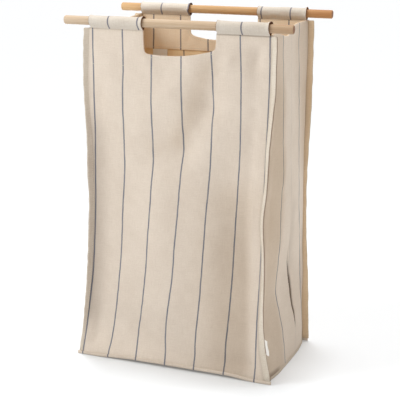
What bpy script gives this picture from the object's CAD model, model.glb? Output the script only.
import math

import bpy
import numpy as np
from mathutils import Matrix, Vector


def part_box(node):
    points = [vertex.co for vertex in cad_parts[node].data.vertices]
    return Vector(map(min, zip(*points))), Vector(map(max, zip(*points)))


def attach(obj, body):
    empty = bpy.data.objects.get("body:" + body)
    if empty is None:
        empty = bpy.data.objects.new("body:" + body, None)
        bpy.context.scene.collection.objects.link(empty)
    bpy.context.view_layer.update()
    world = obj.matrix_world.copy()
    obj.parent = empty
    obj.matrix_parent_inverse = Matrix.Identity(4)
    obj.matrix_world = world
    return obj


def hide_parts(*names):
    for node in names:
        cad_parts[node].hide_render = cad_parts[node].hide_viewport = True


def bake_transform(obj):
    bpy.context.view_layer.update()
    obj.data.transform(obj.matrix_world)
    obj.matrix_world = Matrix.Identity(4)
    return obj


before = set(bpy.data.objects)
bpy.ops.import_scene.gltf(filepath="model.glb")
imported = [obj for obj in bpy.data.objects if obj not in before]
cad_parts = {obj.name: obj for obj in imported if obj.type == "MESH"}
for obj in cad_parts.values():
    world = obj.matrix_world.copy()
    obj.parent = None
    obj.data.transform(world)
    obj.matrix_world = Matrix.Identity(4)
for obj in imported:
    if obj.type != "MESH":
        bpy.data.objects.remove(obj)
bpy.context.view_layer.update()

MM = 0.001

# Sizes of the frame, in mm
POLE_RADIUS = 8.0
POLE_LENGTH = 440.0
POLE_Y = 115.0
CLOTH = 1.6
GAP = 0.3
INNER = CLOTH + GAP
BEHIND_FIN = 3.3
TOP_WIDTH = 375.0
BOTTOM_WIDTH = 403.0
BOTTOM_DEPTH = 252.0
BELLY = 12.0
SEAM_DROP = 13.0
HALF_ALLOWANCE = 1.75
HAND_HALF = 71.0
HAND_SHIFT = 5.0
HOLE_DEPTH = 38.0
HOLE_SAG = 6.0
FACING_BELOW = 25.0
FIN_WIDTH = 13.0
WALL_FOOT = 6.6
SIDE_BULGE = 20.0
HEM_HEIGHT = 20.0
STRIPE_PITCH = 58.5
# How far below a wall's top edge the sleeves' seam lies
SEAM_LINE = 3.2
# The gussets' tops: how far they hang in the middle, and how far to the front and back that reaches
GUSSET_DEPTH = 226.0
GUSSET_SAG = 15.0
SAG_IN_FRONT = 48.0
SAG_BEHIND = 27.0
# In metres: a gusset's cloth starts to move with a wall at BLEND_START in front of or behind the
# middle, and moves with it wholly from BLEND_END on
BLEND_START = 0.003
BLEND_END = 0.112
BLEND_HEIGHT = 0.3

# By even heights from the foot up: how far the walls' sides draw in, as shares of the wall's waist,
# and how far the gussets bow out, as shares of SIDE_BULGE
FRONT_WAIST_SHARES = [0, 0.57, 0.78, 0.84, 0.94, 1, 0.68, 0.52, 0.28, 0.08, 0]
BACK_WAIST_SHARES = [0, 0.22, 0.38, 0.75, 0.97, 1, 0.74, 0.4, 0.2, 0.05, 0]
BULGE_SHARES = [0.485, 0.68, 0.22, 0.4, 0.8, 0.98, 0.84, 0.6, 0.36, 0.08, -0.12]

WALLS = {
    "front": dict(
        way=-1, pole_z=648.0, top=635.0, pole_x=-4.0, waist=20.0, shares=FRONT_WAIST_SHARES
    ),
    "back": dict(way=1, pole_z=664.0, top=651.0, pole_x=4.0, waist=9.5, shares=BACK_WAIST_SHARES),
}
SIDES = {-1: "left", 1: "right"}


# The surfaces of the frame
def along(shares, share):
    """A smooth curve through evenly spaced values, at a share of its length."""
    shares = np.asarray(shares, float)
    last = len(shares) - 1
    place = np.clip(share, 0, 1) * last
    first = np.minimum(np.floor(place).astype(int), last - 1)
    t = place - first
    a, b, c, d = (shares[np.clip(first + k, 0, last)] for k in (-1, 0, 1, 2))
    bend = 2 * a - 5 * b + 4 * c - d
    twist = 3 * b - a - 3 * c + d
    return (2 * b + (c - a) * t + bend * t**2 + twist * t**3) / 2


def lerp(a, b, t):
    return a + (b - a) * t


def smooth(t):
    t = np.clip(t, 0, 1)
    return t * t * (3 - 2 * t)


def share_up(top, z):
    return np.clip((z - WALL_FOOT) / (top - WALL_FOOT), 0, 1)


def half_width(wall, z):
    s = share_up(wall["top"], z)
    return lerp(BOTTOM_WIDTH, TOP_WIDTH, s) / 2 - wall["waist"] * along(wall["shares"], s)


def seam_x(wall, z):
    return half_width(wall, z) - FIN_WIDTH


def face_y(wall, x, z):
    s = share_up(wall["top"], z)
    across = np.clip(x / seam_x(wall, z), -1, 1)
    flat = lerp(BOTTOM_DEPTH / 2, POLE_Y + HALF_ALLOWANCE, s)
    return flat + BELLY * np.sin(np.pi * s) * (1 - across**2)


def gusset_top(across):
    return lerp(WALLS["front"]["top"], WALLS["back"]["top"], across)


def gusset_sag(across):
    """The gusset's top edge hangs a little in its middle, clear of a pole that comes in over it."""
    y = (across - 0.5) * GUSSET_DEPTH
    return GUSSET_SAG * np.exp(-((y / np.where(y < 0, SAG_IN_FRONT, SAG_BEHIND)) ** 2))


def ripple(x, y, seed, size, octaves=5):
    """Smooth, fixed unevenness, from -1 to 1 or so. size is the wavelength in mm."""
    rng = np.random.default_rng(seed)
    total = np.zeros(np.broadcast(x, y).shape)
    for _ in range(octaves):
        angle = rng.uniform(0, 2 * np.pi)
        length = size * rng.uniform(0.6, 1.6)
        phase = rng.uniform(0, 2 * np.pi)
        total = total + np.sin(2 * np.pi * (x * np.cos(angle) + y * np.sin(angle)) / length + phase)
    return total / octaves**0.5


def strokes(x, z, table):
    """Soft ridges and valleys: each from (x0, z0) to (x1, z1), so wide and so high, in mm."""
    total = np.zeros(np.broadcast(x, z).shape)
    for x0, z0, x1, z1, width, height in table:
        dx, dz = x1 - x0, z1 - z0
        length2 = dx * dx + dz * dz
        t = np.clip(((x - x0) * dx + (z - z0) * dz) / length2, 0, 1)
        far2 = (x - x0 - t * dx) ** 2 + (z - z0 - t * dz) ** 2
        total = total + height * np.exp(-far2 / width**2)
    return total


# Folds of the front wall, seen from the front: ridges stand out, valleys go in
FRONT_FOLDS = [
    (40, 600, -6, 530, 28, 3.0),
    (-6, 530, -66, 470, 30, 2.4),
    (76, 560, 62, 505, 24, -5.0),
    (62, 505, 24, 425, 24, -6.6),
    (24, 425, -46, 398, 26, -3.6),
    (-62, 588, -40, 556, 12, 2.4),
    (106, 612, 98, 580, 12, 2.8),
    (158, 606, 150, 582, 14, -3.6),
    (-150, 600, -128, 500, 26, 3.0),
    (-20, 340, -30, 120, 44, 3.0),
    (88, 300, 70, 190, 26, 1.6),
    (120, 398, 128, 30, 50, -9.5),
    (60, 190, 36, 40, 30, -2.6),
    (-180, 54, 10, 58, 54, -6.5),
]
BACK_FOLDS = [
    (-100, 430, -60, 100, 28, 2.6),
    (40, 540, 20, 420, 18, -2.6),
    (110, 420, 80, 140, 30, -2.4),
    (-140, 300, -120, 120, 18, -2.0),
    (0, 250, 60, 80, 24, 2.0),
    (130, 560, 90, 470, 22, 1.8),
]
FOLDS = {"front": FRONT_FOLDS, "back": BACK_FOLDS}
SEEDS = {"front": 11, "back": 23}

# How far out (x) and how far forward the corner seams lie, because the front fins curl forward and
# take the wall's edges along, and the back ones show. By even heights, from the foot up.
# These lists, and those of the fins and stripes below, follow the photograph. Many of their numbers
# are what scratch programs worked out from its pixels, and others were then changed by hand.
SEAM_OUT = {
    ("front", 1): [
        -1.5, -1, 0.5, 2.4, 4.4, 7.4, 9, 10, 10.1, 8.5, 9.3, 9.9, 9.2, 7.9, 7.6, 7.4, 7.2, 6.5, 4.4,
        3.8, 2.2,
    ],
    ("front", -1): [
        -2.5, 0.5, 0.5, -1, -2.4, -4.2, -5.2, -5, -4.4, -3.3, -2.4, -3.4, -5, -4.3, -2.1, -0.2, 1.1,
        1.4, 0.3, -0.4, -0.4,
    ],
    ("back", 1): [
        1, 1.5, 1, 2, 4, 5.4, 5.8, 7, 7.2, 7.2, 6.2, 5, 4.2, 3.8, 3.6, 3, 3, 3, 3.4, 3.3, 2.6,
    ],
}
SEAM_FORWARD = {
    ("front", 1): [
        0, 0.5, 1.5, 3, 4, 4.5, 5, 5, 4.5, 4.5, 4.5, 4, 4, 3.5, 3, 2.5, 2, 1.5, 1, 0.5, 0,
    ],
    ("front", -1): [0, 1, 2.5, 4, 5, 5.5, 6, 6, 6, 6, 6, 6, 5.5, 5, 4.5, 4, 3, 2, 1.5, 1, 0],
}
# How far in from a seam its wall curls forward, in a sharp or a wide curl, and the hollow beside it
EDGE_CURL = 9.0
WIDE_CURL = 30.0
EDGE_HOLLOW = 1.8


def by_height(table, name, side, z):
    if (name, side) in table:
        return along(table[name, side], share_up(WALLS[name]["top"], z))
    return np.zeros(np.shape(z))


def seam_out(name, side, z):
    return by_height(SEAM_OUT, name, side, z)


def seam_forward(name, side, z):
    return by_height(SEAM_FORWARD, name, side, z)


def from_seam(name, x, z):
    """Distance of a point of a wall from its nearer corner seam."""
    out = np.where(x > 0, seam_out(name, 1, z) - x, seam_out(name, -1, z) + x)
    return seam_x(WALLS[name], z) + out


def wall_relief(name, x, z):
    wall = WALLS[name]
    fade = smooth((wall["top"] - z) / 40) * smooth((z - WALL_FOOT) / 26)
    fade = fade * smooth((seam_x(wall, z) - np.abs(x)) / 24)
    rough = 0.9 * ripple(x, z, SEEDS[name], 120) + 0.35 * ripple(x, z, SEEDS[name] + 1, 38)
    d = np.maximum(from_seam(name, x, z), 0)
    forward = np.where(x > 0, seam_forward(name, 1, z), seam_forward(name, -1, z))
    wide = np.where(x < 0, 0.75, 0.15) * smooth((z - 150) / 120) * smooth((520 - z) / 120)
    curl = lerp(np.exp(-d / EDGE_CURL), np.exp(-((d / WIDE_CURL) ** 2)), wide)
    edge = forward * curl - fade * EDGE_HOLLOW * np.exp(-(((d - 26) / 15) ** 2))
    return fade * (strokes(x, z, FOLDS[name]) + rough) + edge


def foot_lift(name, x):
    """The seam along the foot stands off the ground between the corners."""
    high = 4.6 if name == "front" else 2.5
    return high * smooth((x + 165) / 90) * smooth((172 - x) / 60)


def wall_points(name, x, z, depth):
    wall = WALLS[name]
    z = z + foot_lift(name, x) * smooth(1 - (z - WALL_FOOT) / 60)
    y = face_y(wall, x, z) + wall_relief(name, x, z) - depth
    return np.stack([x, wall["way"] * y, z], axis=-1)


# Folds of the gussets, in depth (y) and height
RIGHT_FOLDS = [
    (-20, 330, -4, 240, 13, 2.5),
    (84, 270, 72, 180, 16, 2.0),
    (-60, 140, -20, 150, 20, -2.0),
    (-70, 560, -40, 380, 24, 1.5),
    (40, 560, 30, 420, 22, -2.2),
    (60, 640, 75, 600, 30, -3.5),
]
LEFT_FOLDS = [
    (20, 330, 10, 220, 16, 2.4),
    (-50, 300, -44, 190, 14, -2.6),
    (60, 140, 20, 150, 20, -2.2),
    (60, 560, 40, 380, 24, 1.5),
    (-40, 540, -30, 420, 22, -2.0),
]
SIDE_FOLDS = {1: RIGHT_FOLDS, -1: LEFT_FOLDS}

# The sharp fold low down in each gusset: its place and its depth, from height 20 up in steps of 30
TUCK_FOOT = 20.0
TUCK_STEP = 30.0
TUCKS = {
    1: ([43, 41, 34, 32, 33, 22, 13, 12, 12, 12, 12], [0, 3, 6.5, 9, 10, 9, 5.5, 3.6, 3, 2, 0]),
    -1: (
        [-40, -38, -36, -34, -30, -24, -18, -12, -8, -6, -4],
        [0, 1.5, 3.5, 5.5, 7, 5, 2.5, 1, 0, 0, 0],
    ),
}


def tuck(side, y, z):
    """The fold's relief, and how deep in its shade a point lies."""
    places, depths = TUCKS[side]
    share = np.clip((z - TUCK_FOOT) / (TUCK_STEP * (len(places) - 1)), 0, 1)
    t = side * (y - along(places, share))
    deep = np.maximum(along(depths, share), 0)
    lip = 0.35 * np.exp(-((np.minimum(t, 0) / 20) ** 2))
    pit = -0.65 * np.exp(-((np.maximum(t, 0) / 15) ** 2))
    step = smooth((t + 1.5) / 3.0)
    hidden = 1.45 * deep
    near_lip = smooth((t - 0.35 * hidden) / (0.5 * hidden + 0.6))
    dark = lerp(0.35, 1.0, near_lip) * smooth((t + 1) / 2)
    dark = dark * smooth(1 - (t - hidden - 0.6) / (1.2 + 0.65 * deep))
    shade = smooth((deep - 1.5) / 4) * dark
    return deep * lerp(lip, pit, step), shade


def side_points(side, across, z, depth, clearance):
    """The gusset's surface, in mm. side is 1 on the right and -1 on the left."""
    front, back = WALLS["front"], WALLS["back"]
    seam = lerp(seam_x(front, z), seam_x(back, z), across)
    front_face, back_face = -face_y(front, seam, z), face_y(back, seam, z)
    y = lerp(front_face + clearance, back_face - clearance, across)
    front_end, back_end = front_face + BEHIND_FIN, back_face - BEHIND_FIN
    off = (2 * y - front_end - back_end) / (back_end - front_end)
    bow = SIDE_BULGE * along(BULGE_SHARES, share_up(gusset_top(across), z))
    x = seam + bow * (1 - off**4)
    inside = smooth((1 - np.abs(off)) / 0.25) * smooth(z / 30)
    inside = inside * smooth((gusset_top(across) - z) / 35)
    rough = 0.8 * ripple(y, z, 31 + side, 90) + 0.3 * ripple(y, z, 41 + side, 30)
    x = x + inside * (strokes(y, z, SIDE_FOLDS[side]) + rough) + tuck(side, y, z)[0]
    near = smooth(1 - (y - front_end) / 34)
    near_back = smooth(1 - (back_end - y) / 34)
    x = x + seam_out("front", side, z) * near + seam_out("back", side, z) * near_back
    y = y - seam_forward("front", side, z) * near
    return np.stack([side * (x - depth), y, z], axis=-1)


# Meshes
def grid(columns, rows, flip=False):
    """Faces of a grid whose points run along its columns first."""
    faces = []
    for r in range(rows):
        for c in range(columns):
            a = r * (columns + 1) + c
            quad = (a, a + 1, a + columns + 2, a + columns + 1)
            faces.append(quad[::-1] if flip else quad)
    return np.array(faces)


def ring_faces(count, around, first=0):
    """Faces between rings of points, and one across the first ring and the last."""
    last = first + (count - 1) * around
    faces = []
    for ring in range(first, last, around):
        for k in range(around):
            a, b = ring + k, ring + (k + 1) % around
            faces.append((a, b, b + around, a + around))
    return faces + [range(first, first + around)[::-1], range(last, last + around)]


def circle(count):
    """The cosines and sines of even steps round a circle."""
    turns = 2 * np.pi * np.arange(count) / count
    return np.cos(turns), np.sin(turns)


def vertex_normals(points, faces):
    a, b, c, d = (points[faces[:, k]] for k in range(4))
    flat = np.cross(c - a, d - b)
    total = np.zeros_like(points)
    for k in range(4):
        np.add.at(total, faces[:, k], flat)
    return total / np.maximum(np.linalg.norm(total, axis=1, keepdims=True), 1e-9)


def outer_edges(faces):
    """The directed edges that only one face has."""
    seen = {}
    for quad in faces:
        for k in range(4):
            seen[int(quad[k]), int(quad[(k + 1) % 4])] = True
    return [(a, b) for a, b in seen if (b, a) not in seen]


# What the points of a cloth carry for its material, each from 0 to 1: how dark it is with shade or
# soil, how far its stripes are faded, and how warm its colour is
MARKS = ("shade", "faded", "warmth")
# Where the rings of points round a cloth's rounded edge lie, in degrees from its middle surface
RIM_TURNS = (45, 0, -45)


def cloth_mesh(name, points, faces, uvs, thickness=CLOTH, open_points=None, **marks):
    """A closed cloth sheet with rounded edges round a middle surface. open_points are the points
    of an edge that is closed flat and sharp, because the next sheet goes on there."""
    points = np.asarray(points, float).reshape(-1, 3)
    normals = vertex_normals(points, faces)
    half = thickness / 2
    count = len(points)
    edges = outer_edges(faces)
    cut_edges = [e for e in edges if open_points is not None and open_points[list(e)].all()]
    edges = [e for e in edges if e not in cut_edges]

    away = np.zeros_like(points)
    for a, b in edges:
        way = np.cross(points[b] - points[a], (normals[a] + normals[b]) / 2)
        away[a] += way
        away[b] += way
    rim = sorted({k for edge in edges for k in edge})
    place = {k: i for i, k in enumerate(rim)}
    out = away[rim] / np.maximum(np.linalg.norm(away[rim], axis=1, keepdims=True), 1e-9)
    all_points = [points + normals * half, points - normals * half]
    for turn in RIM_TURNS:
        t = math.radians(turn)
        all_points.append(points[rim] + (out * math.cos(t) + normals[rim] * math.sin(t)) * half)

    rings = [2 * count + k * len(rim) for k in range(len(RIM_TURNS))]
    edge_faces = []
    for edge in edges:
        a, b = ([k, *(ring + place[k] for ring in rings), k + count] for k in edge)
        edge_faces += [(b[k], a[k], a[k + 1], b[k + 1]) for k in range(len(rings) + 1)]
    edge_faces += [(b, a, a + count, b + count) for a, b in cut_edges]
    all_faces = np.concatenate([faces, faces[:, ::-1] + count, edge_faces])
    kinds = np.zeros(len(all_faces), int)
    kinds[len(faces) : 2 * len(faces)] = 1
    sharp = {frozenset((a + k, b + k)) for a, b in cut_edges for k in (0, count)}

    def for_all(values):
        return np.concatenate([values, values] + [values[rim]] * len(RIM_TURNS))

    marks = {key: for_all(np.ravel(marks.get(key, np.zeros(count)))) for key in MARKS}
    all_uvs = for_all(np.reshape(uvs, (-1, 2)))
    return mesh_object(name, np.concatenate(all_points), all_faces, all_uvs, kinds, sharp, **marks)


def mesh_object(name, points, faces, uvs=None, kinds=None, sharp=(), **marks):
    """kinds are the faces' material slots, and sharp has the sharp edges' pairs of points."""
    mesh = bpy.data.meshes.new(name)
    faces = [tuple(int(k) for k in face) for face in faces]
    mesh.from_pydata((np.asarray(points) * MM).tolist(), [], faces)
    if uvs is not None:
        layer = mesh.uv_layers.new(name="cloth")
        corner = np.empty(len(mesh.loops), np.int32)
        mesh.loops.foreach_get("vertex_index", corner)
        layer.data.foreach_set("uv", (np.asarray(uvs)[corner] * MM).astype(np.float32).ravel())
    mesh.polygons.foreach_set("use_smooth", np.ones(len(mesh.polygons), bool))
    if kinds is not None:
        mesh.polygons.foreach_set("material_index", np.asarray(kinds, np.int32))
    for key, values in marks.items():
        layer = mesh.attributes.new(key, "FLOAT", "POINT")
        layer.data.foreach_set("value", np.asarray(values, np.float32))
    if sharp:
        edges = mesh.attributes.new("sharp_edge", "BOOLEAN", "EDGE")
        edges.data.foreach_set("value", [frozenset(e.vertices) in sharp for e in mesh.edges])
    mesh.update()
    obj = bpy.data.objects.new(name, mesh)
    bpy.context.scene.collection.objects.link(obj)
    return obj


def dress(obj, *materials):
    for material in materials:
        obj.data.materials.append(material)
    return obj


def declare(obj, body, node):
    """A rigid piece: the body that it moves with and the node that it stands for."""
    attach(obj, body)
    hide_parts(node)


# Materials
def linear(rgb):
    """A colour as a photograph shows it, from 0 to 255, as the shader takes it."""
    out = []
    for c in rgb:
        c = c / 255
        out.append(c / 12.92 if c <= 0.04045 else ((c + 0.055) / 1.055) ** 2.4)
    return (*out, 1.0)


class Nodes:
    """The nodes of a material or a world. A node's input takes a number, a colour or an output."""

    def __init__(self, owner, shader="Principled BSDF"):
        owner.use_nodes = True
        self.tree = owner.node_tree
        self.shader = self.tree.nodes[shader]

    def put(self, node, inputs):
        for key, value in inputs.items():
            if isinstance(value, (int, float, tuple)):
                node.inputs[key].default_value = value
            else:
                self.tree.links.new(value, node.inputs[key])

    def add(self, kind, inputs=None, **settings):
        node = self.tree.nodes.new(kind)
        for key, value in settings.items():
            setattr(node, key, value)
        self.put(node, inputs or {})
        return node

    def math(self, operation, *values, clamp=False):
        inputs = dict(enumerate(values))
        node = self.add("ShaderNodeMath", inputs, operation=operation, use_clamp=clamp)
        return node.outputs[0]

    def times(self, a, b):
        return self.math("MULTIPLY", a, b)

    def plus(self, a, b):
        return self.math("ADD", a, b)

    def minus(self, a, b, clamp=False):
        return self.math("SUBTRACT", a, b, clamp=clamp)

    def mix(self, share, a, b, blend="MIX"):
        inputs = {0: share, 6: a, 7: b}
        return self.add("ShaderNodeMix", inputs, data_type="RGBA", blend_type=blend).outputs[2]

    def noise(self, vector, scale, detail=2.0, rough=0.5):
        """Noise with a scale for each axis, per metre."""
        scaled = self.add("ShaderNodeMapping", {"Vector": vector, "Scale": scale}).outputs[0]
        inputs = {"Vector": scaled, "Scale": 1.0, "Detail": detail, "Roughness": rough}
        return self.add("ShaderNodeTexNoise", inputs).outputs["Fac"]

    def spread(self, value, low, high, to_low=0.0, to_high=1.0):
        """Takes low to to_low and high to to_high, smoothly."""
        ends = {"From Min": low, "From Max": high, "To Min": to_low, "To Max": to_high}
        node = self.add("ShaderNodeMapRange", ends, interpolation_type="SMOOTHSTEP")
        self.put(node, {"Value": value})
        return node.outputs[0]

    def split(self, vector):
        return self.add("ShaderNodeSeparateXYZ", {0: vector}).outputs

    def mark(self, name):
        return self.add("ShaderNodeAttribute", attribute_name=name).outputs["Fac"]

    def bump(self, height, strength, distance):
        inputs = {"Strength": strength, "Distance": distance, "Height": height}
        self.put(self.shader, {"Normal": self.add("ShaderNodeBump", inputs).outputs[0]})


# The stripes' width, how far they wander to a side, and the width of a thread, in mm
STRIPE_WIDTH = 2.7
STRIPE_WANDER = 0.7
THREAD = 0.9
# What cloth is multiplied by where it is warmest in colour, and where it is darkest
WARM_TINT = (0.56, 0.42, 0.24)
SHADE_TINT = (0.2, 0.16, 0.13)


def cloth_material(name, light, dark, stripe=None, mottle=0.5, soil=SHADE_TINT):
    material = bpy.data.materials.new(name)
    n = Nodes(material)
    uv = n.add("ShaderNodeUVMap", uv_map="cloth").outputs[0]
    u, v = n.split(uv)[:2]
    # Plain weave, over and under, of threads that are thicker in places
    per_metre = math.pi / (THREAD * MM)
    weave = n.times(*(n.math("SINE", n.times(axis, per_metre)) for axis in (u, v)))
    slub_up = n.noise(uv, (900.0, 45.0, 1.0))
    slub_across = n.noise(uv, (45.0, 900.0, 1.0))
    slubs = n.times(n.plus(slub_up, slub_across), 0.5)
    fine = n.noise(uv, (380.0, 380.0, 1.0), 3.0, 0.6)
    broad = n.noise(uv, (14.0, 11.0, 1.0), 4.0, 0.6)
    tone = n.plus(n.plus(n.times(slubs, 0.45), n.times(fine, 0.25)), n.times(broad, 0.3))
    reach = 0.08 / mottle
    colour = n.mix(n.spread(tone, 0.5 - reach, 0.5 + reach), linear(dark), linear(light))
    if stripe:
        wander = n.times(n.minus(n.noise(uv, (30.0, 260.0, 1.0)), 0.5), STRIPE_WANDER * MM)
        far = n.math("PINGPONG", n.plus(u, wander), STRIPE_PITCH * MM / 2)
        half = STRIPE_WIDTH * MM / 2
        line = n.spread(far, half * 0.75, half * 1.3, 1.0, 0.0)
        worn = n.spread(slub_up, 0.25, 0.6, 0.72, 1.0)
        kept = n.times(worn, n.minus(1.0, n.mark("faded"), clamp=True))
        colour = n.mix(n.times(line, kept), colour, linear(stripe))
    for mark, tint in (("warmth", WARM_TINT), ("shade", soil)):
        colour = n.mix(n.mark(mark), colour, (*tint, 1), "MULTIPLY")
    n.bump(n.plus(n.times(weave, 0.35), n.times(slubs, 1.3)), 0.55, 0.35 * MM)
    roughness = n.spread(fine, 0.2, 0.8, 0.84, 0.98)
    n.put(n.shader, {"Base Color": colour, "Roughness": roughness, "Specular IOR Level": 0.2})
    n.put(n.shader, {"Sheen Weight": 0.08, "Sheen Roughness": 0.5})
    return material


# The middle of the rings in the poles' end grain, out and up in metres, and how close they are
RING_OUT = POLE_Y * MM - 0.011
RING_UP = 0.64
RING_RATE = 5200.0


def wood_material(name, light, dark, right_end=None):
    """right_end is the wood's browner colour at the pole's right end; none makes end grain."""
    material = bpy.data.materials.new(name)
    n = Nodes(material)
    place = n.add("ShaderNodeTexCoord").outputs["Object"]
    x, y, z = n.split(place)
    if right_end is None:
        out = n.minus(n.math("ABSOLUTE", y), RING_OUT)
        up = n.minus(z, RING_UP)
        far = n.math("SQRT", n.plus(n.times(out, out), n.times(up, up)))
        rings = n.times(n.math("SINE", n.times(far, RING_RATE)), 0.22)
        grain = n.plus(rings, n.noise(place, (900.0, 900.0, 900.0), 3.0))
        share = n.spread(grain, 0.2, 0.85)
    else:
        long = n.noise(place, (9.0, 420.0, 420.0), 4.0, 0.55)
        broad = n.noise(place, (5.0, 60.0, 60.0))
        pores = n.noise(place, (60.0, 1500.0, 1500.0))
        grain = n.plus(n.times(long, 0.5), n.times(broad, 0.35))
        grain = n.plus(grain, n.times(pores, 0.15))
        share = n.spread(grain, 0.34, 0.66)
    colour = n.mix(share, linear(dark), linear(light))
    if right_end is not None:
        streaks = n.times(n.minus(n.noise(place, (6.0, 300.0, 300.0)), 0.5), 0.3)
        brown = n.spread(n.plus(x, streaks), -0.02, 0.26, 0.0, 0.85)
        colour = n.mix(brown, colour, linear(right_end))
    n.bump(grain, 0.25, 0.2 * MM)
    roughness = n.spread(grain, 0.2, 0.8, 0.48, 0.66)
    n.put(n.shader, {"Base Color": colour, "Roughness": roughness, "Specular IOR Level": 0.35})
    return material


CANVAS = cloth_material("canvas_cloth", (231, 218, 203), (217, 202, 185), (114, 117, 130))
FRONT_CANVAS = cloth_material("front_canvas", (239, 226, 211), (225, 210, 194), (119, 122, 135))
SLEEVE = cloth_material("sleeve_cloth", (237, 229, 217), (220, 209, 195), (122, 122, 134))
SLEEVE_INSIDE = cloth_material("sleeve_inside_cloth", (140, 98, 70), (112, 76, 52), (90, 70, 70))
INSIDE = cloth_material("inside_cloth", (253, 228, 186), (244, 210, 162), (150, 130, 118))
FACING = cloth_material("facing_cloth", (253, 235, 209), (242, 217, 186), (132, 124, 128))
FIN = cloth_material("fin_cloth", (232, 224, 210), (212, 198, 180), soil=(0.36, 0.22, 0.16))
BACK_FIN = cloth_material("back_fin_cloth", (247, 222, 190), (229, 201, 165))
SEAM = cloth_material("seam_cloth", (228, 215, 198), (208, 192, 172))
LABEL = cloth_material("label_cloth", (252, 250, 246), (242, 238, 230), mottle=0.3)
THREADS = cloth_material("thread", (236, 228, 212), (208, 196, 176))
WOOD = wood_material("front_pole_wood", (211, 190, 165), (189, 162, 131), (174, 140, 106))
BROWN_WOOD = wood_material("back_pole_wood", (224, 186, 138), (202, 158, 108), (178, 120, 70))
WOOD_END = wood_material("pole_end_wood", (156, 108, 68), (112, 74, 44))


# Front and back walls
# The hand holes' edges from the top left corner to the top right one: x, and height over the top
HOLES = {
    "front": [
        (-66.5, 0), (-65.5, -17), (-63.5, -31), (-60.5, -39), (-53, -42.5), (-31, -44), (-8, -43.8),
        (17.5, -42), (40, -38.6), (55.5, -35.2), (66, -32.5), (72.5, -29.5), (75, -25.5),
        (75.8, -19), (76, -8), (76.2, 0),
    ],
    "back": [
        (-67.2, 0), (-67, -12), (-66.8, -25), (-66, -34), (-62.5, -38.5), (-55.8, -41.2),
        (-45, -43.7), (-30, -46), (-13, -47), (10, -46.8), (30, -45), (50, -41), (62, -37.5),
        (70, -33), (74.5, -24), (76, -12), (76.3, 0),
    ],
}


def hole_border(name, steps=60):
    corners = np.array(HOLES[name], float)
    t = np.linspace(0, 1, steps + 1)
    x = np.maximum.accumulate(along(corners[:, 0], t))
    return np.stack([x, along(corners[:, 1], t)], axis=1)


# Where (x) the front wall's seven stripes lie, by even heights, from the ground up
FRONT_STRIPES = [
    [-185.9, -176.0, -167.0, -160.2, -157.2, -156.0, -157.0, -158.4, -162.5, -164.2, -167.0],
    [-131.3, -121.2, -110.8, -103.4, -99.6, -98.0, -95.8, -98.4, -102.4, -103.4, -106.8],
    [-72.0, -68.1, -56.2, -49.2, -45.3, -40.7, -37.8, -39.8, -43.7, -45.8, -49.6],
    [-11.2, -12.0, -3.2, 5.4, 9.6, 14.4, 17.9, 18.7, 15.6, 12.5, 9.4],
    [48.2, 48.6, 55.4, 60.6, 64.8, 68.2, 71.4, 73.6, 72.7, 69.2, 66.0],
    [108.1, 108.9, 113.6, 117.6, 119.7, 121.3, 124.0, 126.3, 126.4, 124.2, 119.8],
    [168.4, 169.8, 171.0, 173.0, 174.5, 175.0, 175.5, 176.1, 176.6, 176.5, 174.3],
]
# How far the back wall's stripes lean to a side, and where (x) one of them ends at the top
BACK_LEAN = 10.0
BACK_STRIPE = -83.7
# Where (x) one stripe of each facing lies. The back one's lie closer together in the middle.
FACING_STRIPE = {"front": -31.0, "back": -87.0}


# The cloth's own coordinate across its stripes, in mm: each stripe is a multiple of the pitch
def front_stripe_u(x, z):
    share = np.clip(z / WALLS["front"]["top"], 0, 1)
    lines = [along(row, share) for row in FRONT_STRIPES]
    u = STRIPE_PITCH * (x - lines[0]) / (lines[1] - lines[0])
    for k in range(1, len(lines) - 1):
        piece = STRIPE_PITCH * (k + (x - lines[k]) / (lines[k + 1] - lines[k]))
        u = np.where(x > lines[k], piece, u)
    return u


def back_stripe_u(x, z):
    share = np.clip(z / WALLS["back"]["top"], 0, 1)
    return x - BACK_STRIPE - BACK_LEAN * (np.sin(np.pi * share * 0.9) - np.sin(np.pi * 0.9))


def back_facing_stripe_u(x, z):
    narrowed = 4.0 * smooth((x + 30) / 60) + 4.0 * smooth((x - 40) / 40)
    return x - FACING_STRIPE["back"] + narrowed


def front_facing_stripe_u(x, z):
    return x - FACING_STRIPE["front"]


WALL_STRIPES = {"front": front_stripe_u, "back": back_stripe_u}
FACING_STRIPES = {"front": front_facing_stripe_u, "back": back_facing_stripe_u}

# Places of the front wall that are warmer in colour, as strokes
WARM_PATCHES = [
    (60, 575, 12, 445, 19, 0.17),
    (0, 430, -40, 420, 18, 0.08),
    (112, 345, 165, 340, 38, 0.09),
]


COLUMNS_BESIDE_HOLE = 22
WALL_ROWS = 110
FACING_ROWS = 16
PANEL_FOOT = WALL_FOOT - 0.8
FACING_INSET = CLOTH + 2 * GAP


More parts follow.
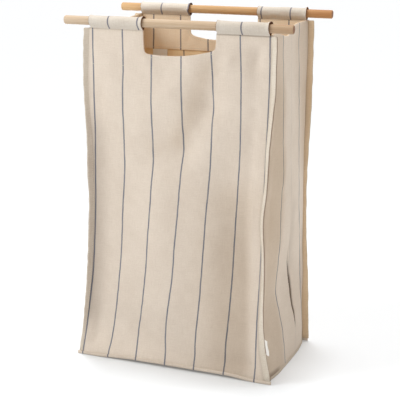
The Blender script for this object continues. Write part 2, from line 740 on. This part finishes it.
def wall_marks(name, x, z):
    """Where a wall lies in shade, is warm in colour or has faded stripes."""
    seam_far = from_seam(name, x, z)
    shade = 0.15 * np.exp(-((seam_far / 3) ** 2))
    under_sleeve = np.where((name == "front") & (x < 0), 0.25, 0.55)
    shade = shade + under_sleeve * (WALLS[name]["top"] - z < SEAM_LINE / 2)
    if name == "back":
        return dict(shade=shade)
    low_right = smooth((x - 10) / 120) * smooth((400 - z) / 160)
    low_right = low_right * (1 - 0.8 * smooth((x - 138) / 26))
    left_height = np.where(x < 0, smooth((500 - z) / 70) * smooth((z - 40) / 70), 0)
    beside_left_fin = left_height * np.exp(-((np.maximum(seam_far, 0) / 22) ** 1.4))
    off_low_left = 1 - smooth((96 - z) / 70) * smooth((30 - x) / 90)
    shade = shade + 0.12 * low_right + 0.33 * beside_left_fin + 0.1 * off_low_left
    faded = np.where(x > 150, 0.3 * smooth((z - 120) / 100) * smooth((500 - z) / 80), 0)
    return dict(shade=shade, faded=faded, warmth=0.24 * low_right + strokes(x, z, WARM_PATCHES))


def wall_layer(name, piece, depth, low, rows, stripe_u, inset=0.0):
    """A panel or facing between the corner seams, with the hand hole's edge as part of its top."""
    wall = WALLS[name]
    top = wall["top"]
    edge = seam_x(wall, top) - inset
    hole = hole_border(name)
    t = np.linspace(0, 1, COLUMNS_BESIDE_HOLE + 1)[:-1]
    left_end = np.stack([lerp(-edge, hole[0, 0], t), 0 * t], axis=1)
    right_end = np.stack([lerp(edge, hole[-1, 0], t), 0 * t], axis=1)[::-1]
    border = np.concatenate([left_end, hole, right_end])
    columns = len(border) - 1
    high_z = top + border[:, 1]
    high_a = border[:, 0] / (seam_x(wall, high_z) - inset)
    low_a = np.linspace(-1, 1, columns + 1)
    t = np.linspace(0, 1, rows)[:-1]
    t = np.concatenate([t, [1 - SEAM_LINE / (top - low), 1]])[:, None]
    z = lerp(low, high_z[None, :], t)
    a = lerp(low_a[None, :], high_a[None, :], smooth(t) * 0.5 + t * 0.5)
    x = a * (seam_x(wall, z) - inset)
    out = np.where(x > 0, seam_out(name, 1, z), -seam_out(name, -1, z))
    x = x + out * smooth((np.abs(a) - 0.75) / 0.25)
    points = wall_points(name, x, z, depth + CLOTH / 2)
    uvs = np.stack([stripe_u(x, z), z], axis=-1)
    faces = grid(columns, rows, flip=wall["way"] > 0)
    return cloth_mesh(piece, points, faces, uvs, **wall_marks(name, x, z))


def facing_foot(wall):
    return wall["top"] - HOLE_DEPTH - HOLE_SAG - FACING_BELOW


for name, wall in WALLS.items():
    body = f"{name}_wall"
    piece = f"{name}_wall_cloth"
    panel = wall_layer(name, piece, 0.0, PANEL_FOOT, WALL_ROWS, WALL_STRIPES[name])
    dress(panel, FRONT_CANVAS if name == "front" else CANVAS, INSIDE)
    declare(panel, body, f"{name}_panel")
    seam = f"{name}_bottom_seam"

    foot, stripe_u = facing_foot(wall), FACING_STRIPES[name]
    piece = f"{name}_facing_band"
    facing = wall_layer(name, piece, INNER, foot, FACING_ROWS, stripe_u, FACING_INSET)
    dress(facing, FACING, FACING)
    declare(facing, body, f"{name}_facing")


# Corner fins
# How far a fin curls out of its wall's plane, in degrees, and how wide it is, both by even heights
FIN_CURL = {
    ("front", 1): [
        0, 0, 8, 28, 40, 50, 52, 54, 54, 50, 51, 52, 53, 50, 48, 45, 40, 33, 29, 28, 21,
    ],
    ("front", -1): [
        0, 5, 14, 26, 34, 38, 40, 40, 40, 40, 40, 40, 40, 38, 36, 34, 31, 28, 26, 24, 20,
    ],
    ("back", 1): [8, 10, 14, 12, 10, 12, 14, 10, 12, 10, 8],
    ("back", -1): [8, 12, 10, 14, 12, 10, 12, 12, 10, 10, 8],
}
FIN_REACH = {
    ("front", 1): [12.0, 12.0, 12.0],
    ("front", -1): [
        7.5, 5.5, 7.2, 8.4, 9.2, 9.9, 9.8, 10.4, 10.3, 10, 10.4, 11.2, 11.6, 11, 9.9, 9.2, 8.8, 9,
        9.4, 10, 10.4,
    ],
    ("back", 1): [
        13, 12.5, 13, 12, 10, 8.8, 8.4, 7.2, 6.8, 6.8, 7.5, 8.8, 9.8, 10.2, 10.4, 11, 11, 10.9,
        10.5, 10.6, 10.9,
    ],
    ("back", -1): [14.0, 14.0, 14.0],
}
FIN_BACK = 3.0
# The outline of a fin across its length: share of its reach, and depth behind its face
FIN_SECTION = [
    (0.0, 0.0), (0.25, 0.0), (0.5, 0.0), (0.75, 0.0), (0.92, 0.04), (0.98, 0.3), (0.99, 0.75),
    (0.965, 1.2), (0.93, 1.42), (0.93, 1.6), (0.965, 1.85), (0.99, 2.3), (0.98, 2.7), (0.92, 2.96),
    (0.75, FIN_BACK), (0.5, FIN_BACK), (0.25, FIN_BACK), (0.0, FIN_BACK),
]
FIN_ROWS = 150


def fin_seed(name, side):
    return 5 + 3 * side + (10 if name == "back" else 0)


def fin_width(name, side, z):
    seed = fin_seed(name, side)
    width = by_height(FIN_REACH, name, side, z) * (1 + 0.025 * ripple(z, 0 * z, seed, 160))
    return width + 0.3 * ripple(z, 0 * z, seed + 1, 28)


def fin_point(name, side, z, share, deep, width=None):
    """A point of a corner fin: share of its width out from the root, and depth behind its face."""
    wall = WALLS[name]
    width = fin_width(name, side, z) if width is None else width
    root = seam_x(wall, z) + seam_out(name, side, z) + 0.1
    face = face_y(wall, seam_x(wall, z), z) + seam_forward(name, side, z)
    bend = np.radians(by_height(FIN_CURL, name, side, z)) * (0.75 + 0.25 * share)
    reach = share * width
    wave = 0.6 * ripple(z, 0 * z, fin_seed(name, side) + 2, 70) * share**2
    x = root + reach * np.cos(bend) + deep * np.sin(bend) * min(share * 3, 1)
    y = face + reach * np.sin(bend) - deep * np.cos(bend) + wave
    return np.stack([side * x, wall["way"] * y, z], axis=-1)


def fin_shade(name, side, z, share, deep):
    """A fin is darker at its root, along its raw outer edge and where it curls away."""
    root = 0.15 * math.exp(-((share / 0.18) ** 2))
    raw_edge = 0.6 if share > 0.92 and deep > 0.5 else 0.0
    shade = root + raw_edge + (0.12 if deep > 2 else 0.0) + 0 * z
    if (name, side) == ("front", -1):
        inner = 1 - smooth((share - 0.72) / 0.2)
        shade = shade + inner * (0.16 + 0.16 * smooth((520 - z) / 80)) * smooth((z - 20) / 60)
    if name == "back":
        shade = shade + 0.1 * math.exp(-((share / 0.45) ** 2)) * smooth((z - 330) / 120)
    return shade


def fin_mesh(name, side):
    wall = WALLS[name]
    foot = WALL_FOOT - 0.6
    # The rows lie closer together at the top, where the fin's outer corner is rounded
    up = np.sin(np.linspace(0, np.pi / 2, FIN_ROWS + 1)) ** 0.9
    z = foot + (wall["top"] - foot) * up
    top_round = np.clip((wall["top"] - z) / 3, 0, 1)
    width = fin_width(name, side, z) * (0.78 + 0.22 * np.sqrt(1 - (1 - top_round) ** 2))
    points, uvs, shade = [], [], []
    for share, deep in FIN_SECTION:
        points.append(fin_point(name, side, z, share, deep, width))
        uvs.append(np.stack([share * width + deep, z], axis=-1))
        shade.append(fin_shade(name, side, z, share, deep))
    points = np.stack(points, axis=1).reshape(-1, 3)
    uvs = np.stack(uvs, axis=1).reshape(-1, 2)
    shade = np.stack(shade, axis=1).ravel()
    section = len(FIN_SECTION)
    flip = side * wall["way"] > 0
    faces = list(grid(section - 1, FIN_ROWS, flip=flip))
    for row in (0, FIN_ROWS):
        ring = [row * section + k for k in range(section)]
        faces.append(ring[::-1] if (row == 0) != flip else ring)
    return mesh_object(f"{name}_{SIDES[side]}_fin", points, faces, uvs, shade=shade)


for name in WALLS:
    for side, side_name in SIDES.items():
        fin = dress(fin_mesh(name, side), FIN if name == "front" else BACK_FIN)
        declare(fin, f"{name}_wall", f"{name}_{side_name}_seam")


# Gussets
# Where (y) the right gusset's two clear stripes lie, by even heights, from the ground up
STRIPE_IN_FRONT = [
    -24, -30, -31, -32, -33, -37, -34, -34, -40, -43, -42, -44, -46, -45, -42, -44, -44, -40, -36,
    -33, -33,
]
STRIPE_BEHIND = [
    112, 112, 103, 104, 105, 103, 101, 92, 78, 71, 62, 58, 54, 52, 52, 56, 60, 62, 68, 74, 70,
]
LEFT_STRIPE_SHIFT = 22.0
# The stripes of the gussets that are hardly visible, by number, and how far they are faded
FADED_STRIPES = [(-1, 1.0), (1, 0.85)]


def side_stripe_u(side, y, z):
    """The cloth's own coordinate across a gusset's stripes, in mm."""
    if side < 0:
        return y + LEFT_STRIPE_SHIFT + strokes(y, z, [(36, 150, 60, 60, 34, 10)])
    share = z / WALLS["back"]["top"]
    first, second = along(STRIPE_IN_FRONT, share), along(STRIPE_BEHIND, share)
    between = 2 * STRIPE_PITCH * (y - first) / (second - first)
    behind = 2 * STRIPE_PITCH + y - second
    return np.where(y < first, y - first, np.where(y > second, behind, between))


# Where the columns of each half of a gusset lie: close together round the sharp fold
PLAIN_HALF = np.linspace(0, 0.5, 31)
TUCKED_HALF = np.concatenate([
    np.linspace(0.5, 0.54, 5), np.linspace(0.54, 0.73, 37)[1:], np.linspace(0.73, 1, 17)[1:],
])


def side_marks(side, across, y, z, u):
    """Where a gusset lies in shade, is warm in colour or has faded stripes."""
    from_front = across * GUSSET_DEPTH
    from_back = (1 - across) * GUSSET_DEPTH
    shade = tuck(side, y, z)[1] + 0.16 * smooth((230 - z) / 170)
    shade = shade + 0.3 * np.exp(-((from_front / 7) ** 2))
    shade = shade + 0.15 * np.exp(-((from_back / 13) ** 2))
    if side > 0:
        turned_corner = smooth((15 - z) / 6) * smooth((66 - from_front) / 20)
        shade = shade + 0.5 * turned_corner + strokes(y, z, [(30, 300, 36, 185, 17, 0.13)])
    high = smooth((z - 500) / 110)
    in_front = smooth((94 - from_front) / 28) * lerp(0.75, 1.0, smooth((z - 150) / 120))
    behind = smooth((80 - from_back) / 60) * smooth((z - 330) / 100)
    warmth = 0.38 * (in_front * (1 - 0.35 * high) + behind * (1 - 0.5 * high))
    faded = 0 * u
    for k, share in FADED_STRIPES:
        faded = faded + share * np.exp(-(((u - k * STRIPE_PITCH) / 12) ** 4))
    return dict(shade=np.minimum(shade, 1), faded=faded, warmth=warmth)


def side_sheet(side, half, piece, heights, depth, clearance):
    """Half of a gusset: the front half goes from the front seam to the middle."""
    tucked = (half == "back") == (side > 0)
    across = TUCKED_HALF if tucked else 1 - PLAIN_HALF[::-1]
    if half == "front":
        across = 1 - across[::-1]
    z = heights((gusset_top(across) - gusset_sag(across))[None, :])
    across = np.broadcast_to(across, z.shape)
    points = side_points(side, across, z, depth + CLOTH / 2, clearance)
    y = points[..., 1]
    u = side_stripe_u(side, y, z)
    uvs = np.stack([u, z], axis=-1)
    rows, columns = (count - 1 for count in z.shape)
    faces = grid(columns, rows, flip=side < 0)
    middle = (across == 0.5).ravel()
    marks = side_marks(side, across, y, z, u)
    return cloth_mesh(piece, points, faces, uvs, open_points=middle, **marks)


def gusset_rows(tops):
    return lerp(0.2, tops, np.linspace(0, 1, 121)[:, None])


def hem_rows(tops):
    return tops - HEM_HEIGHT * (1 - np.linspace(0, 1, 7)[:, None])


HEM_DEPTH = INNER + GAP
HEM_CLEARANCE = BEHIND_FIN + INNER
for side, side_name in SIDES.items():
    for half, way in (("front", -1), ("back", 1)):
        start, end = ((0, way * y, BLEND_HEIGHT) for y in (BLEND_START, BLEND_END))
        piece = f"{side_name}_gusset_{half}_half"
        gusset = side_sheet(side, half, piece, gusset_rows, 0.0, BEHIND_FIN)
        dress(gusset, CANVAS, INSIDE)
        piece = f"{side_name}_hem_{half}_half"
        hem = side_sheet(side, half, piece, hem_rows, HEM_DEPTH, HEM_CLEARANCE)
        dress(hem, FACING, FACING)
        for obj, node, slot in (
            (gusset, f"{side_name}_side_panel", "canvas"),
            (hem, f"{side_name}_side_hem", "shaded_canvas"),
        ):
            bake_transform(obj)
            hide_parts(node)
        seam = f"{side_name}_bottom_seam"


# Sleeves round the poles
def sleeve_path(steps=44):
    """The cloth's middle line from one tail round the pole to the other, out and up of the pole."""
    radius = POLE_RADIUS + 0.4 + CLOTH / 2
    tail = (HALF_ALLOWANCE - CLOTH / 2, GAP - SEAM_DROP)
    touch = math.atan2(tail[1], tail[0]) + math.acos(radius / math.hypot(*tail))
    start = (radius * math.cos(touch), radius * math.sin(touch))
    right = [[lerp(a, b, t) for a, b in zip(tail, start)] for t in np.linspace(0, 1, 9)[:-1]]
    turns = np.linspace(touch, math.pi - touch, steps + 1)
    arc = [(radius * math.cos(a), radius * math.sin(a)) for a in turns]
    left = [(-o, u) for o, u in right[::-1]]
    return np.array(right + arc + left)


# Where (x) the stripe of each sleeve lies, and how dark its cloth is: the four aren't quite alike
SLEEVE_STRIPES = {
    ("front", -1): -133.1, ("front", 1): 122.9, ("back", -1): -125.5, ("back", 1): 143.5,
}
SLEEVE_SHADES = {("front", -1): 0.15, ("front", 1): 0.2, ("back", -1): 0.0, ("back", 1): 0.11}
SLEEVE_COLUMNS = 72
SLEEVE_SLANT = 0.032


def sleeve_mesh(name, side):
    wall = WALLS[name]
    corner = seam_x(wall, wall["top"])
    left, right = -corner + 4, HAND_SHIFT - HAND_HALF
    if side > 0:
        left, right = HAND_SHIFT + HAND_HALF + 1, corner
    x = np.linspace(left, right, SLEEVE_COLUMNS + 1)[None, :]
    path = sleeve_path()
    out, up = path[:, 0:1], path[:, 1:2]
    angle = np.arctan2(up, out)
    seed = 61 + 7 * side + (3 if name == "back" else 0)
    low = smooth((-up - 1) / 9)
    # Small puckers at the seam, broad waves round the pole, and ends that open a little
    pucker = ripple(x, angle * 2.5, seed, 13, 6) * 0.55 * low
    broad = 0.35 * ripple(x, angle * 8, seed + 1, 46)
    end = np.minimum(x - left, right - x)
    right_half = x > (left + right) / 2
    flare = np.where(right_half, 2.4, 1.0) * np.exp(-((end / 4.0) ** 2)) * smooth((up + 12) / 8)
    spread = np.maximum(pucker + broad, -0.25 * (up > -5)) + flare
    grown = 1 + spread / np.hypot(out, up)
    lean = 0.4 * ripple(x, 0 * x, seed + 2, 60) * low
    y = wall["way"] * (POLE_Y + out * grown + lean)
    z = wall["pole_z"] + up * np.where(up > 0, grown, 1)
    ragged = 0.7 * ripple(angle * 10, 0 * x + seed, seed + 3, 30) * smooth(1 - end / 12)
    points = np.stack([x + np.where(right_half, ragged, -ragged), y, z], axis=-1)
    length = np.concatenate([[0], np.cumsum(np.hypot(*np.diff(path, axis=0).T))])[:, None]
    slant = SLEEVE_SLANT * (length - length[-1] / 2)
    uvs = np.stack([x - SLEEVE_STRIPES[name, side] + slant, length + 0 * x], axis=-1)
    faces = grid(SLEEVE_COLUMNS, len(path) - 1, flip=wall["way"] < 0)
    piece = f"{name}_{SIDES[side]}_pole_sleeve"
    return cloth_mesh(piece, points, faces, uvs, shade=0 * y + SLEEVE_SHADES[name, side])


for name in WALLS:
    for side, side_name in SIDES.items():
        sleeve = dress(sleeve_mesh(name, side), SLEEVE_INSIDE, SLEEVE)
        declare(sleeve, f"{name}_wall", f"{name}_{side_name}_sleeve")


# Poles
POLE_SIDES = 48
POLE_ROUNDING = 1.5


def pole_mesh(name):
    wall = WALLS[name]
    end = POLE_LENGTH / 2
    flat = POLE_RADIUS - POLE_ROUNDING
    profile = [(-end, 0.0), (-end, POLE_RADIUS * 0.55), (-end, flat)]
    for t in np.linspace(15, 90, 6):
        a = math.radians(t)
        inward, outward = POLE_ROUNDING * (1 - math.cos(a)), POLE_ROUNDING * math.sin(a)
        profile.append((-end + inward, flat + outward))
    middle = [(s, POLE_RADIUS) for s in np.linspace(-end + 30, end - 30, 9)]
    profile = profile + middle + [(-s, r) for s, r in profile[::-1]]
    s, r = np.array(profile).T[..., None]
    c, up = circle(POLE_SIDES)
    y = wall["way"] * POLE_Y + r * c
    points = np.stack([wall["pole_x"] + s + 0 * y, y, wall["pole_z"] + r * up], axis=-1)
    faces, kinds = [], []
    last = len(profile) - 2
    for ring in range(last + 1):
        for k in range(POLE_SIDES):
            a, b = (ring * POLE_SIDES + j % POLE_SIDES for j in (k, k + 1))
            quad = (a, b, b + POLE_SIDES, a + POLE_SIDES)
            # The first and last rings of faces are triangles that meet in the axis
            skipped = {0: b, last: b + POLE_SIDES}.get(ring)
            faces.append([corner for corner in quad if corner != skipped])
            kinds.append(int(ring < 2 or ring > last - 2))
    return mesh_object(f"{name}_dowel", points.reshape(-1, 3), faces, kinds=kinds)


for name in WALLS:
    pole = dress(pole_mesh(name), WOOD if name == "front" else BROWN_WOOD, WOOD_END)
    declare(pole, f"{name}_pole", f"{name}_pole")


# Floor and its seams
def run_along(line):
    """The length of a line of points up to each of them."""
    return np.concatenate([[0], np.cumsum(np.linalg.norm(np.diff(line, axis=0), axis=1))])


TUBE_SIDES = 14
# Half sizes of the seams round the floor, sideways and upwards, and where their middles lie
FOOT_SEAM = (1.5, 3.1)
FOOT_SEAM_Y = 125.9
FOOT_SEAM_Z = 3.2
SIDE_FOOT_SEAM = (1.0, 3.0)
SIDE_FOOT_SEAM_Z = 3.1


def tube(name, centres, half_out, half_up, outs, across=None, shade=None):
    """A rounded band along a path: half_out and half_up are its half sizes sideways and upwards."""
    out, up = (np.sign(way) * np.abs(way) ** 0.7 for way in circle(TUBE_SIDES))
    points = centres[:, None] + outs[:, None] * out[:, None] * half_out
    points[..., 2] += up * half_up
    across = run_along(centres) if across is None else across
    uvs = np.stack(np.broadcast_arrays(across[:, None], 1.3 * np.arange(TUBE_SIDES)), axis=-1)
    faces = ring_faces(len(centres), TUBE_SIDES)
    marks = {} if shade is None else dict(shade=np.repeat(shade, TUBE_SIDES))
    return mesh_object(name, points.reshape(-1, 3), faces, uvs.reshape(-1, 2), **marks)


for name, wall in WALLS.items():
    way = wall["way"]
    start = -BOTTOM_WIDTH / 2 + (5.0 if name == "front" else 0.5)
    x = np.linspace(start, BOTTOM_WIDTH / 2 - 0.5, 121)
    wave = 0.3 * ripple(x, 0 * x, 81 + way, 90)
    lift = foot_lift(name, x) + 0.3 * np.abs(ripple(x, 0 * x, 84 + way, 50))
    centre = np.stack([x, way * (FOOT_SEAM_Y + wave), FOOT_SEAM_Z + lift], axis=-1)
    outs = np.tile([0, way, 0], (len(x), 1))
    stripes = WALL_STRIPES[name](x, 0 * x)
    seam = tube(f"{name}_foot_seam", centre, *FOOT_SEAM, outs, stripes)
    declare(dress(seam, CANVAS), "base", f"{name}_bottom_seam")

for side, side_name in SIDES.items():
    across = np.linspace(0, 1, 81)
    # The seam is thicker and darker at its front end
    end = smooth((0.1 - across) / 0.05)
    line = side_points(side, across, 3.0 + 0 * across, -0.5 - 1.6 * end, BEHIND_FIN)
    line[:, 2] = SIDE_FOOT_SEAM_Z + 0.2 * ripple(line[:, 1], 0 * across, 91 + side, 50)
    outs = np.tile([side, 0, 0], (len(across), 1)) * (0.55 + 1.5 * end)[:, None]
    seam = tube(f"{side_name}_foot_seam", line, *SIDE_FOOT_SEAM, outs, shade=0.2 + 0.4 * end)
    declare(dress(seam, SEAM), "base", f"{side_name}_bottom_seam")

FLOOR_HALF_DEPTH = 124.1
FLOOR_THICKNESS = 1.9


def floor_mesh(columns=60, rows=44):
    share = np.linspace(0, 1, rows + 1)
    edge = side_points(1, share, 0 * share, INNER, BEHIND_FIN)
    y = np.linspace(-FLOOR_HALF_DEPTH, FLOOR_HALF_DEPTH, rows + 1)[:, None]
    half = np.interp(y, edge[:, 1], edge[:, 0])
    a = np.linspace(-1, 1, columns + 1)[None, :]
    x = a * (half - 0.5)
    y = np.broadcast_to(y, x.shape)
    inside = smooth((1 - np.abs(a)) / 0.1) * smooth((FLOOR_HALF_DEPTH - np.abs(y)) / 20)
    lump = 0.7 * ripple(x, y, 101, 110) * inside
    lift = foot_lift("front", x) * smooth(1 - (y + FLOOR_HALF_DEPTH) / 40)
    lift = lift + foot_lift("back", x) * smooth(1 - (FLOOR_HALF_DEPTH - y) / 40)
    points = np.stack([x, y, 1.1 + np.maximum(lump, -0.1) + lift], axis=-1)
    uvs = np.stack([x + 12.0, y], axis=-1)
    return cloth_mesh("floor_cloth", points, grid(columns, rows), uvs, FLOOR_THICKNESS)


floor_cloth = dress(floor_mesh(), INSIDE, CANVAS)
declare(floor_cloth, "base", "bottom_panel")
seam = "front_bottom_seam"


# Labels
LABEL_THICKNESS = 0.6


def label_grid(node, columns, rows):
    """The corners of the node's box, and shares from left to right and along its height."""
    low, high = (np.array(corner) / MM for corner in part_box(node))
    a = np.linspace(0, 1, columns + 1)[None, :]
    t = np.linspace(0, 1, rows + 1)[:, None]
    return low, high, a, t


def label(piece, node, wall, points, flip):
    rows, columns = (count - 1 for count in points.shape[:2])
    uvs = points[..., [0, 2]]
    faces = grid(columns, rows, flip=flip)
    obj = dress(cloth_mesh(piece, points, faces, uvs, LABEL_THICKNESS), LABEL, LABEL)
    declare(obj, f"{wall}_wall", node)
    return obj


# The care label hangs from the back facing's hem and stands off the wall more and more
low, high, a, t = label_grid("care_label", 10, 14)
x = lerp(low[0], high[0], a) + 0 * t
z = lerp(high[2] + 1.5, low[2], t) + 0 * a
depth = INNER + 0.5 + 2.2 * t**1.4 + 1.2 * t * np.sin(np.pi * (a - 0.2))
points = wall_points("back", x, z, depth)
care = label("bare_care_label", "care_label", "back", points, True)
care.data.flip_normals()

# The side tab comes out of the front right corner seam and bends back
low, high, a, t = label_grid("side_tab_label", 8, 12)
z = lerp(low[2], high[2], t) + 0 * a
edge = fin_point("front", 1, z[:, 0], 1.0, FIN_BACK / 2)[:, None, :]
x = edge[..., 0] - 4.6 + a * 11.5 + 0.6 * np.sin(6 * t) * a
y = edge[..., 1] + FIN_BACK / 2 + 0.5 - 7.0 * smooth((a - 0.2) / 0.8)
y = y + 0.8 * a * np.sin(2.5 * t + 0.6)
points = np.stack([x, y, z], axis=-1)
label("bare_side_tab", "side_tab_label", "front", points, False)


# Stitches
STITCH = 3.4
STITCH_GAP = 0.9
STITCH_RADIUS = 0.32
# Along a stitch: the place, how thick it is and how far it stands up, as shares of the above
STITCH_PLACES = np.array([0, 0.12, 0.5, 0.88, 1])
STITCH_FATNESS = np.array([0.25, 0.85, 1.0, 0.85, 0.25])
STITCH_RISE = np.array([-0.28, 0.0, 0.12, 0.0, -0.28])
STITCH_SIDES = 6
HOLE_STITCH_IN = 4.0
SLEEVE_STITCH_DOWN = 3.0
HEM_STITCH_UP = 4.0


def sew(name, lines, body):
    """Stitches along lines of points that lie on cloth, each with the cloth's normals there."""
    c, s = circle(STITCH_SIDES)
    fat = STITCH_FATNESS[:, None] * STITCH_RADIUS
    rise, aside = STITCH_RISE[:, None] + s * fat * 0.8, c * fat
    points, faces = [], []
    for line, normal in lines:
        run = run_along(line)
        for at in np.arange(STITCH_GAP, run[-1] - STITCH, STITCH + STITCH_GAP):
            spots = at + STITCH_PLACES * STITCH
            centre, up = (
                np.stack([np.interp(spots, run, values[:, k]) for k in range(3)], axis=1)
                for values in (line, normal)
            )
            way = centre[-1] - centre[0]
            sides = np.cross(up, way / np.linalg.norm(way))[:, None]
            faces += ring_faces(len(spots), STITCH_SIDES, len(points) * rise.size)
            rings = centre[:, None] + up[:, None] * rise[..., None] + sides * aside[..., None]
            points.append(rings)
    points = np.reshape(points, (-1, 3))
    obj = dress(mesh_object(name, points, faces, points[:, [0, 2]]), THREADS)
    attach(obj, body)


def both_faces(name, x, z):
    """The same line on a wall's outside and on its facing, with the cloth's normals."""
    lines = []
    for depth, way in ((0.0, WALLS[name]["way"]), (INNER + CLOTH, -WALLS[name]["way"])):
        points = wall_points(name, x, z, depth)
        lines.append((points, np.tile([0.0, way, 0.0], (len(points), 1))))
    return lines


for name, wall in WALLS.items():
    top = wall["top"]
    half = seam_x(wall, top)
    # The hand hole's edge
    hole = hole_border(name)
    way = np.gradient(hole, axis=0)
    away = np.stack([way[:, 1], -way[:, 0]], axis=1)
    away /= np.linalg.norm(away, axis=1, keepdims=True)
    line = hole + away * HOLE_STITCH_IN
    line = line[line[:, 1] < -1]
    lines = both_faces(name, line[:, 0], top + line[:, 1])
    # The sleeves' seams
    for side in SIDES:
        x = np.linspace(HAND_SHIFT + side * (HAND_HALF + 1), side * (half - 1), 60)
        lines += both_faces(name, x, top - SLEEVE_STITCH_DOWN + 0 * x)
    # The facing's hem
    x = np.linspace(-half + 4, half - 4, 120)
    lines += both_faces(name, x, facing_foot(wall) + HEM_STITCH_UP + 0 * x)
    # The corner seams, at the roots of the fins
    z = np.linspace(WALL_FOOT + 4, top - 3, 200)
    for side in SIDES:
        points = fin_point(name, side, z, 0.12, 0.0)
        lines.append((points, np.tile([0.0, wall["way"], 0.0], (len(z), 1))))
    sew(f"{name}_wall_stitches", lines, f"{name}_wall")


# Light
LAMP_TARGET = Vector((0, 0, 0.4))
# The world lights the piece with this colour, and the camera sees it white
WORLD_LIGHT = (0.55, 0.518, 0.486, 1)
WHITE = (1, 1, 1, 1)


def way_to(azimuth, elevation):
    """The way to a place that is seen at these angles, in degrees, from the front."""
    a, e = math.radians(azimuth), math.radians(elevation)
    return Vector((math.sin(a) * math.cos(e), -math.cos(a) * math.cos(e), math.sin(e)))


def lamp(name, kind, azimuth, elevation, strength, size, far=3.0, colour=(1.0, 1.0, 1.0)):
    """A sun's size is an angle in degrees, and another lamp's a width in metres."""
    data = bpy.data.lights.new(name, kind)
    data.color = colour
    if kind == "SUN":
        data.angle = math.radians(size)
        data.energy = strength
    else:
        data.shape = "DISK"
        data.size = size
        data.energy = strength * math.pi * far**2
    obj = bpy.data.objects.new(name, data)
    way = way_to(azimuth, elevation)
    obj.location = LAMP_TARGET + way * far
    obj.rotation_mode = "QUATERNION"
    obj.rotation_quaternion = (-way).to_track_quat("-Z", "Y")
    bpy.context.scene.collection.objects.link(obj)


lamp("key", "AREA", -50, 38, 1.4, 0.9, far=2.0, colour=(0.95, 0.985, 1.0))
lamp("fill", "SUN", 128, 42, 0.5, 30)
lamp("overhead", "SUN", -140, 82.5, 1.45, 13)

world = bpy.data.worlds.new("studio")
bpy.context.scene.world = world
n = Nodes(world, "Background")
rays = n.add("ShaderNodeLightPath").outputs
seen = n.math("MAXIMUM", rays["Is Camera Ray"], rays["Is Glossy Ray"])
seen = n.math("MAXIMUM", seen, rays["Is Transmission Ray"])
n.put(n.shader, {"Color": n.mix(seen, WORLD_LIGHT, WHITE), "Strength": 1.0})

# The ground: half its width in mm, how far it lies below the bag in metres, and its own light
GROUND_HALF = 40000
GROUND_DROP = 0.0002
GROUND_COLOUR = (0.8, 0.83, 0.86, 1)
GROUND_GLOW = 0.1


def ground():
    corners = ((-1, -1), (1, -1), (1, 1), (-1, 1))
    points = [(x * GROUND_HALF, y * GROUND_HALF, 0) for x, y in corners]
    obj = mesh_object("studio_floor", points, [(0, 1, 2, 3)])
    obj.location.z = -GROUND_DROP
    material = bpy.data.materials.new("studio_floor")
    n = Nodes(material)
    n.put(n.shader, {"Base Color": GROUND_COLOUR, "Roughness": 1.0, "Specular IOR Level": 0.0})
    seen = n.add("ShaderNodeLightPath").outputs["Is Camera Ray"]
    glow = n.add("ShaderNodeEmission", {0: WHITE, 1: n.times(seen, GROUND_GLOW)})
    both = n.add("ShaderNodeAddShader", {0: n.shader.outputs[0], 1: glow.outputs[0]})
    n.put(n.tree.nodes["Material Output"], {"Surface": both.outputs[0]})
    return dress(obj, material)


ground()

# The camera that was fitted to the photograph: its place in degrees and metres, and its lens
AZIMUTH, ELEVATION, ROLL = 21.0, 13.1, 1.13
LOOK_AT = Vector((0.006, 0, 0.304))
DISTANCE = 2.060
SENSOR = 36.0
FOCAL_PIXELS, PHOTO_PIXELS = 1057.0, 400.0

back = way_to(AZIMUTH, ELEVATION)
right = (-back).cross(Vector((0, 0, 1))).normalized()
up = right.cross(-back)
c, s = math.cos(math.radians(ROLL)), math.sin(math.radians(ROLL))
columns = (right * c + up * s, up * c - right * s, back, LOOK_AT + back * DISTANCE)
camera_data = bpy.data.cameras.new("camera")
camera_data.sensor_width = SENSOR
camera_data.lens = FOCAL_PIXELS * SENSOR / PHOTO_PIXELS
camera = bpy.data.objects.new("camera", camera_data)
camera.matrix_world = Matrix([[column[k] for column in columns] for k in range(3)] + [[0, 0, 0, 1]])
bpy.context.scene.collection.objects.link(camera)
bpy.context.scene.camera = camera

view = bpy.context.scene.view_settings
view.view_transform = "Standard"
